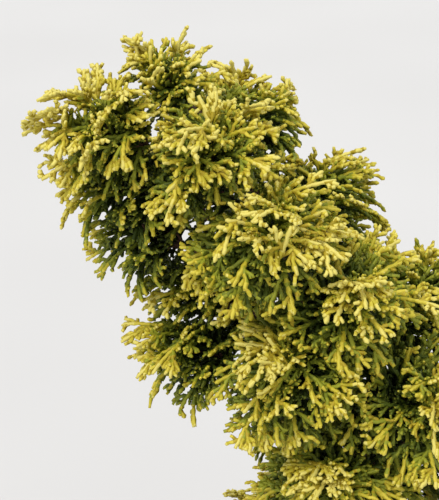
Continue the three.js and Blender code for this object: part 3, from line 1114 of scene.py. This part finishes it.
def outward_and_smooth(piece, angle):
    """Closes edit mode with the normals outward, and shades the piece smooth below an angle."""
    bpy.ops.mesh.normals_make_consistent(inside=False)
    bpy.ops.object.mode_set(mode="OBJECT")
    bpy.ops.object.shade_smooth_by_angle(angle=math.radians(angle))


def trunk_radii(ring, angle):
    share = trunk_shares[ring]
    height = max(trunk_path[ring][2] - SOIL_TOP, 0)
    flare = FLARE_RADIUS * math.exp(-height / FLARE_HEIGHT)
    return trunk_radius(share) + flare * (1 + FLARE_LOBE_DEPTH * math.cos(FLARE_LOBES * angle))


trunk_shares = np.linspace(0, 1, TRUNK_RINGS)
trunk_path = np.array([trunk_point(share) for share in trunk_shares])
trunk = limb_mesh(
    "trunk_bark", trunk_path, trunk_radii, TRUNK_AROUND, TRUNK_RELIEF, trunk_bark
)
edit(trunk)
ground = (0, 0, (SOIL_TOP + SEAT_GAP) * MM)
bpy.ops.mesh.bisect(plane_co=ground, plane_no=(0, 0, 1), clear_inner=True, use_fill=True)
bpy.ops.mesh.select_all(action="SELECT")
outward_and_smooth(trunk, BARK_SMOOTH)
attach(trunk, "root")
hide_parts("trunk")
print("trunk faces:", len(trunk.data.polygons))

# %% [markdown]
# A bough swells into a collar where it leaves the trunk, and tapers to the stem of its mass.

# %%
COLLAR_RADIUS = 1.3
COLLAR_LENGTH = 4.0
BOUGH_RELIEF = 0.11
RELIEF_FROM = 0.3
LEAST_RINGS = 6


def bough_piece(mass):
    length = np.linalg.norm(mass.entry - mass.start)
    rings = max(LEAST_RINGS, int(length / BOUGH_RING_STEP))
    bough_shares = np.linspace(0, 1, rings)
    path = np.array([mass.bough(share) for share in bough_shares])
    wood = trunk_radius(mass.leaves)

    def radii(ring, angle):
        past = max(bough_shares[ring] * length - wood, 0)
        collar = COLLAR_RADIUS * math.exp(-past / COLLAR_LENGTH) * wood / TRUNK_RADIUS
        return mass.bough_radius(bough_shares[ring]) + collar

    relief = BOUGH_RELIEF * mass.bough_radius(RELIEF_FROM)
    bough = limb_mesh("bark_" + mass.name, path, radii, BOUGH_AROUND, relief, bough_bark)
    edit(bough)
    outward_and_smooth(bough, BARK_SMOOTH)
    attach(bough, "root")
    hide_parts("bough_" + mass.name)


for mass in masses:
    if not mass.from_tip:
        bough_piece(mass)
print("boughs:", len(masses) - 1)

# %% [markdown]
# ## Twigs
#
# Inside a mass the bough goes on as a thin brown stem. Every frond hangs on it, or on its own limb,
# by a brown stalk that passes into its green rib.

# %%
STEM_RADIUS = 1.3
STEM_END_RADIUS = 0.7
STEM_POINTS = 7
STALK_POINTS = 5
STALK_FOOT_RADIUS = 0.65
STALK_RADIUS = 0.5
STALK_PAST = 0.1
TUBE_ANGLES = np.arange(5) * 2 * math.pi / 5
ROUND = np.array([[math.cos(a), math.sin(a)] for a in TUBE_ANGLES])


def frond_place(frond, y):
    """A point on a frond's rib at a distance from its base."""
    share = y / frond["span"]
    rise = frond["arch"] * frond["span"] * 4 * share * (1 - share)
    return frond["base"] + y * frond["axis"] + rise * frond["face"]


def tube(run, radii, face):
    """Vertices and faces of one closed five-sided tube along a run of points."""
    runs = np.array(run)[None]
    sides, overs = run_frames(runs, np.array([face]))
    ring = runs[0][:, None] + sides[0][:, None] * (np.outer(radii, ROUND[:, 0]))[..., None]
    ring = ring + overs[0][:, None] * (np.outer(radii, ROUND[:, 1]))[..., None]
    corners = len(ROUND)
    faces = [tuple(range(corners - 1, -1, -1))]
    for i in range(len(run) - 1):
        for corner in range(corners):
            here = i * corners + corner
            there = i * corners + (corner + 1) % corners
            faces.append((here, there, there + corners, here + corners))
    last = (len(run) - 1) * corners
    faces.append(tuple(range(last, last + corners)))
    return ring.reshape(-1, 3), faces


def twigs_of(mass):
    """Vertices and faces of the stem of a mass and of the stalks of its fronds."""
    vertices, faces, total = [], [], 0
    head = mass.centre + STEM_PAST_MIDDLE * mass.spread * mass.along
    steps = np.linspace(0, 1, STEM_POINTS)
    stem = [mass.entry + share * (head - mass.entry) for share in steps]
    parts = [tube(stem, np.linspace(STEM_RADIUS, STEM_END_RADIUS, STEM_POINTS), mass.over)]
    for number in ribs_kept:
        frond = fronds[number]
        if frond["mass"] == mass.index:
            reach = (STALK_SHARE + STALK_PAST) * frond["span"]
            stalk = [frond_place(frond, y) for y in np.linspace(0, reach, STALK_POINTS)]
            radii = np.linspace(STALK_FOOT_RADIUS, STALK_RADIUS, STALK_POINTS)
            parts.append(tube(stalk, radii, frond["face"]))
    for shape, walls in parts:
        vertices.append(shape)
        faces.extend(tuple(corner + total for corner in wall) for wall in walls)
        total += len(shape)
    return np.concatenate(vertices), faces


ribs_kept = [int(frond_of_shoot[i]) for i in np.flatnonzero((order_of_shoot == RIB) & (kept > 0))]
for mass in masses:
    vertices, faces = twigs_of(mass)
    mesh = bpy.data.meshes.new("twigs_" + mass.name)
    mesh.from_pydata([tuple(vertex) for vertex in vertices * MM], [], faces)
    mesh.materials.append(twig_bark)
    twigs = linked_object("twigs_" + mass.name, mesh)
    edit(twigs)
    outward_and_smooth(twigs, BARK_SMOOTH)
    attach(twigs, "root")
    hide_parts("mass_" + mass.name)
print("stalks:", len(ribs_kept))

# %% [markdown]
# ## The clay pot
#
# A disc is extruded ring by ring along the pot's profile: up the outside, over the lip and down
# the inside. Each corner of the profile is rounded first.

# %%
POT_AROUND = 128
DISC_INSET = 12.0
LEDGE_RISE = 1.0
CORNER_ROUND = 3.2
CORNER_STEPS = 5
CORNER_SHARE = 0.45
POT_SMOOTH = 40
DRILL_AROUND = 40
DRILL_LENGTH = 3 * POT_FLOOR


def rounded(corners, radius, steps):
    """The corners of a profile, each of them replaced by a short arc."""
    points = [corners[0]]
    for before, corner, after in zip(corners, corners[1:], corners[2:]):
        corner = np.array(corner)
        reach = []
        for other in (before, after):
            way = np.array(other) - corner
            length = np.linalg.norm(way)
            reach.append(corner + way / length * min(radius, CORNER_SHARE * length))
        for step in range(steps + 1):
            t = step / steps
            blend = (1 - t) ** 2 * reach[0] + 2 * t * (1 - t) * corner + t * t * reach[1]
            points.append(tuple(blend))
    points.append(corners[-1])
    return points


def extruded_rings(name, profile, around):
    """A disc that is extruded and resized from point to point of a profile of radius and height."""
    bpy.ops.object.select_all(action="DESELECT")
    radius, height = profile[0]
    bpy.ops.mesh.primitive_circle_add(
        vertices=around, radius=radius * MM, fill_type="NGON", location=(0, 0, height * MM)
    )
    bpy.ops.object.transform_apply(location=True, rotation=False, scale=False)
    piece = bpy.context.object
    piece.name = name
    edit(piece)
    for next_radius, next_height in profile[1:]:
        move = {"value": (0, 0, (next_height - height) * MM)}
        bpy.ops.mesh.extrude_region_move(TRANSFORM_OT_translate=move)
        ratio = next_radius / radius
        bpy.ops.transform.resize(value=(ratio, ratio, 1), center_override=(0, 0, 0))
        radius, height = next_radius, next_height
    bpy.ops.mesh.select_all(action="SELECT")
    return piece


band_foot = POT_HEIGHT - BAND_HEIGHT
body = RIM_RADIUS - BAND_PROUD
mouth = body - POT_WALL + MOUTH_FLARE
pot_corners = [
    (FOOT_RADIUS - DISC_INSET, 0),
    (FOOT_RADIUS, 0),
    (body - BODY_TAPER, band_foot),
    (RIM_RADIUS - BAND_TAPER, band_foot + LEDGE_RISE),
    (RIM_RADIUS, POT_HEIGHT),
    (mouth, POT_HEIGHT),
    (FOOT_RADIUS - POT_WALL, POT_FLOOR),
    (FOOT_RADIUS - POT_WALL - DISC_INSET, POT_FLOOR),
]
pot_profile = rounded(pot_corners, CORNER_ROUND, CORNER_STEPS)
pot = extruded_rings("clay_pot", pot_profile, POT_AROUND)
outward_and_smooth(pot, POT_SMOOTH)

for i in range(DRAIN_COUNT):
    angle = 2 * math.pi * (i + 0.5) / DRAIN_COUNT
    bpy.ops.mesh.primitive_cylinder_add(
        vertices=DRILL_AROUND,
        radius=DRAIN_RADIUS * MM,
        depth=DRILL_LENGTH * MM,
        location=(DRAIN_OFFSET * math.cos(angle) * MM, DRAIN_OFFSET * math.sin(angle) * MM, 0),
    )
    drill = bpy.context.object
    bpy.ops.object.select_all(action="DESELECT")
    bpy.context.view_layer.objects.active = pot
    pot.select_set(True)
    cut = pot.modifiers.new("drain", "BOOLEAN")
    cut.operation = "DIFFERENCE"
    cut.solver = "EXACT"
    cut.object = drill
    bpy.ops.object.modifier_apply(modifier=cut.name)
    bpy.data.objects.remove(drill, do_unlink=True)


DARK_CLAY = (0.36, 0.125, 0.056)
CLAY = (0.50, 0.200, 0.095)
PALE_CLAY = (0.62, 0.29, 0.155)
SALTS = (0.74, 0.62, 0.52)
CLAY_STOPS = [(0.3, DARK_CLAY), (0.52, CLAY), (0.75, PALE_CLAY)]
ROUND_THE_POT = (0.02, 0.02, 1)
SALTS_STRETCH = (1, 1, 0.7)


def clay_material():
    """Clay with throwing rings, mottled firing and pale salts, most of them low down."""
    surface = Surface("clay")
    where = surface.place()
    firing = surface.noise(where, 22.0, detail=5.0)
    speckle = surface.noise(where, 900.0, detail=2.0)
    colour = surface.ramp(firing * 0.75 + speckle * 0.25, CLAY_STOPS)
    patches = surface.noise(surface.place(SALTS_STRETCH), 34.0, detail=6.0, rough=0.7)
    salts = patches.above(0.56, width=0.16)
    height = surface.node("ShaderNodeSeparateXYZ", {}, {"Vector": where}, "Z")
    low = 1.0 - height.above(0.02, width=0.09)
    colour = surface.mixed(salts * (low * 0.55 + 0.16), colour, SALTS)
    turns = surface.noise(surface.place(ROUND_THE_POT), 260.0, detail=3.0, rough=0.6)
    grain = surface.noise(where, 1500.0, detail=3.0)
    relief = turns * 0.75 + grain * 0.35
    return surface.finish(colour, 0.9 - firing * 0.14, relief, strength=0.55, distance=0.0006)


pot.data.materials.clear()
pot.data.materials.append(clay_material())
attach(pot, "root")
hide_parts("pot")
print("pot faces:", len(pot.data.polygons))

# %% [markdown]
# ## The potting soil
#
# The bed is extruded like the pot and its top is roughened. Crumbs of bark and grit lie half sunk
# in it, with more of them round the foot of the trunk.

# %%
SOIL_AROUND = 150
SOIL_RINGS = 44
CROWN_FLAT = 24.0
SOIL_TAPER = 0.5
SOIL_LIP = 1.0
SOIL_EYE = 0.8
CLODS = (0.16, 1.3)
LUMPS = (0.5, 0.9)
SOIL_SUNK = 0.7
ROUGH_DEPTH = 0.5
SOIL_SMOOTH = 50


def wall_at(height):
    """The radius of the bed's side at a height, a small gap inside the pot's wall."""
    share = (height - POT_FLOOR) / (POT_HEIGHT - LIP_ROUND - POT_FLOOR)
    foot = FOOT_RADIUS - POT_WALL
    return foot + (mouth - foot) * share - SOIL_SIDE_GAP


def soil_height(radius):
    """The crown of the bed, flat in the middle and a little lower at the wall."""
    edge = wall_at(POT_HEIGHT - SOIL_BELOW_RIM)
    fall = max(0.0, (radius - CROWN_FLAT) / (edge - CROWN_FLAT))
    return SOIL_TOP - SOIL_CROWN * fall


soil_floor = POT_FLOOR + SEAT_GAP
soil_edge = wall_at(POT_HEIGHT - SOIL_BELOW_RIM)
soil_profile = [
    (wall_at(soil_floor) - SOIL_TAPER, soil_floor),
    (soil_edge, soil_height(soil_edge) - SOIL_LIP),
]
for radius in np.linspace(soil_edge - SOIL_LIP, SOIL_EYE, SOIL_RINGS):
    soil_profile.append((float(radius), soil_height(radius)))
soil_bed = extruded_rings("soil_bed", soil_profile, SOIL_AROUND)
bpy.ops.mesh.normals_make_consistent(inside=False)
bpy.ops.object.mode_set(mode="OBJECT")
for vertex in soil_bed.data.vertices:
    if vertex.co.z > (SOIL_TOP - SOIL_CROWN - ROUGH_DEPTH) * MM:
        place = vertex.co * (1 / MM)
        rough = sum(noise.noise(place * fine) * high for fine, high in (CLODS, LUMPS))
        vertex.co.z += (rough - SOIL_SUNK) * MM
bpy.ops.object.shade_smooth_by_angle(angle=math.radians(SOIL_SMOOTH))


# Each kind has a dark, a middle and a pale colour: painted shade in the gaps, painted light on top.
SOIL_COLOURS = {
    "soil_peat": ((0.012, 0.008, 0.006), (0.042, 0.026, 0.017), (0.1, 0.066, 0.044)),
    "soil_chip": ((0.04, 0.02, 0.012), (0.125, 0.066, 0.038), (0.24, 0.145, 0.09)),
    "soil_grit": ((0.3, 0.27, 0.23), (0.52, 0.49, 0.44), (0.72, 0.7, 0.66)),
}


def soil_material(name):
    """A crumbly material, dark in the gaps with painted shade and pale on top with painted light.
    """
    surface = Surface(name)
    where = surface.place()
    clods = surface.noise(where, 260.0, detail=5.0, rough=0.65)
    grain = surface.noise(where, 1400.0, detail=3.0)
    stops = list(zip((0.36, 0.55, 0.78), SOIL_COLOURS[name]))
    colour = surface.ramp(clods * 0.6 + grain * 0.4, stops)
    relief = clods + grain * 0.6
    return surface.finish(colour, 0.96 - clods * 0.1, relief, strength=0.9, distance=0.0012)


soil_kinds = [soil_material(name) for name in SOIL_COLOURS]
soil_bed.data.materials.append(soil_kinds[0])
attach(soil_bed, "root")
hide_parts("soil")

# %% [markdown]
# The crumbs are copies of one small ball, each stretched, turned and dented in its own way and
# joined in one mesh. They are peat, flat chips of bark and small pale grit.

# %%
CRUMBS = 2400
CRUMB_SEED = 23
CRUMB_LEAST = 0.55
CRUMB_MOST = 2.2
SIZE_POWER = 2.2
NEAR_FOOT_EVERY = 5
ROUND_FOOT = (9.0, 20.0)
ON_THE_BED = (10.0, soil_edge - 3.5)
KIND_SHARES = [0.56, 0.36, 0.08]
CHIP, GRIT = 1, 2
GRIT_SIZE = 0.62
CHIP_LENGTH = 1.35
CRUMB_WIDTH = (0.5, 0.9)
CRUMB_HEIGHT = (0.35, 0.7)
CHIP_WIDTH = (0.45, 0.8)
CHIP_HEIGHT = (0.22, 0.4)
DENTS = 0.11
LEAN = 0.3
CRUMB_SUNK = 0.6
CRUMB_RISE = 0.25


def turned(spin, lean):
    """A turn about the upright axis after a lean about y."""
    c, d = math.cos(spin), math.sin(spin)
    e, f = math.cos(lean), math.sin(lean)
    spun = np.array([[c, -d, 0], [d, c, 0], [0, 0, 1]])
    return spun @ np.array([[e, 0, f], [0, 1, 0], [-f, 0, e]])


def crumb_piece():
    bpy.ops.object.select_all(action="DESELECT")
    bpy.ops.mesh.primitive_ico_sphere_add(subdivisions=1, radius=1.0)
    ball = bpy.context.object
    corners = np.array([tuple(vertex.co) for vertex in ball.data.vertices])
    walls = np.array([tuple(face.vertices) for face in ball.data.polygons])
    bpy.data.objects.remove(ball, do_unlink=True)
    dice = np.random.default_rng(CRUMB_SEED)
    vertices, kinds = [], []
    for crumb in range(CRUMBS):
        size = CRUMB_LEAST + (CRUMB_MOST - CRUMB_LEAST) * dice.random() ** SIZE_POWER
        least, most = ROUND_FOOT if crumb % NEAR_FOOT_EVERY == 0 else ON_THE_BED
        radius = math.sqrt(dice.uniform(least**2, most**2))
        turn = dice.uniform(0, 2 * math.pi)
        kind = int(dice.choice(3, p=KIND_SHARES))
        stretch = np.array([1.0, dice.uniform(*CRUMB_WIDTH), dice.uniform(*CRUMB_HEIGHT)])
        if kind == CHIP:
            stretch = np.array([CHIP_LENGTH, dice.uniform(*CHIP_WIDTH), dice.uniform(*CHIP_HEIGHT)])
        if kind == GRIT:
            size *= GRIT_SIZE
        shape = corners * (1 + dice.normal(0, DENTS, (len(corners), 1))) * stretch * size
        way = turned(dice.uniform(0, 2 * math.pi), dice.normal(0, LEAN))
        sunk = soil_height(radius) - CRUMB_SUNK + CRUMB_RISE * size * dice.random()
        spot = np.array([radius * math.cos(turn), radius * math.sin(turn), sunk])
        vertices.append(shape @ way.T + spot)
        kinds.append(kind)
    vertices = np.concatenate(vertices)
    faces = (walls[None] + np.arange(CRUMBS)[:, None, None] * len(corners)).reshape(-1, 3)
    mesh = bpy.data.meshes.new("soil_crumbs")
    mesh.from_pydata([tuple(vertex) for vertex in vertices * MM], [], faces.tolist())
    for material in soil_kinds:
        mesh.materials.append(material)
    mesh.polygons.foreach_set("material_index", np.repeat(kinds, len(walls)).astype(np.int32))
    return linked_object("soil_crumbs", mesh)


crumbs = crumb_piece()
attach(crumbs, "root")
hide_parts("soil")
print("crumbs:", CRUMBS)

# %% [markdown]
# ## Floor, light and camera
#
# The floor is plain and pale. A broad soft sun stands up and to the left in front, a weak one
# behind, and the sky fills the shade.

# %%
FLOOR_SIZE = 14.0
FLOOR_DARK = (0.60, 0.59, 0.58)
FLOOR_PALE = (0.64, 0.63, 0.62)
FLOOR_ROUGHNESS = 0.95
SKY_COLOUR = (0.93, 0.96, 1.0, 1)
SKY_STRENGTH = 0.76

floor_surface = Surface("floor_pale")
tint = floor_surface.noise(floor_surface.place(), 1.5, detail=2.0)
floor_colour = floor_surface.ramp(tint, [(0.3, FLOOR_DARK), (0.7, FLOOR_PALE)])
bpy.ops.object.select_all(action="DESELECT")
bpy.ops.mesh.primitive_plane_add(size=FLOOR_SIZE)
floor = bpy.context.object
floor.name = "floor"
floor.data.materials.append(floor_surface.finish(floor_colour, FLOOR_ROUGHNESS))

world = bpy.data.worlds.new("soft_sky")
world.use_nodes = True
background = world.node_tree.nodes["Background"]
background.inputs["Color"].default_value = SKY_COLOUR
background.inputs["Strength"].default_value = SKY_STRENGTH
bpy.context.scene.world = world


def soft_sun(name, place, strength, angle, colour):
    """A sun that shines from a place towards the origin, as wide as an angle in degrees."""
    light_data = bpy.data.lights.new(name, "SUN")
    light_data.energy = strength
    light_data.angle = math.radians(angle)
    light_data.color = colour
    lamp = bpy.data.objects.new(name, light_data)
    lamp.location = place
    lamp.rotation_euler = (-Vector(place)).to_track_quat("-Z", "Y").to_euler()
    bpy.context.collection.objects.link(lamp)


soft_sun("key", (-0.7, -0.9, 1.7), strength=1.95, angle=28, colour=(1.0, 0.965, 0.91))
soft_sun("back", (0.9, 1.3, 1.5), strength=0.55, angle=60, colour=(0.95, 0.98, 1.0))

CAMERA_TARGET = Vector((-0.030, 0.0, 0.345))
CAMERA_RISE = math.radians(24)
CAMERA_DISTANCE = 0.5
forward = Vector((0, math.cos(CAMERA_RISE), -math.sin(CAMERA_RISE)))
camera_data = bpy.data.cameras.new("camera")
camera_data.lens = 100
camera_data.sensor_width = 36
camera_data.clip_start = 0.02
camera = bpy.data.objects.new("camera", camera_data)
camera.location = CAMERA_TARGET - forward * CAMERA_DISTANCE
camera.rotation_euler = forward.to_track_quat("-Z", "Y").to_euler()
bpy.context.collection.objects.link(camera)
bpy.context.scene.camera = camera
bpy.context.scene.view_settings.view_transform = "Standard"
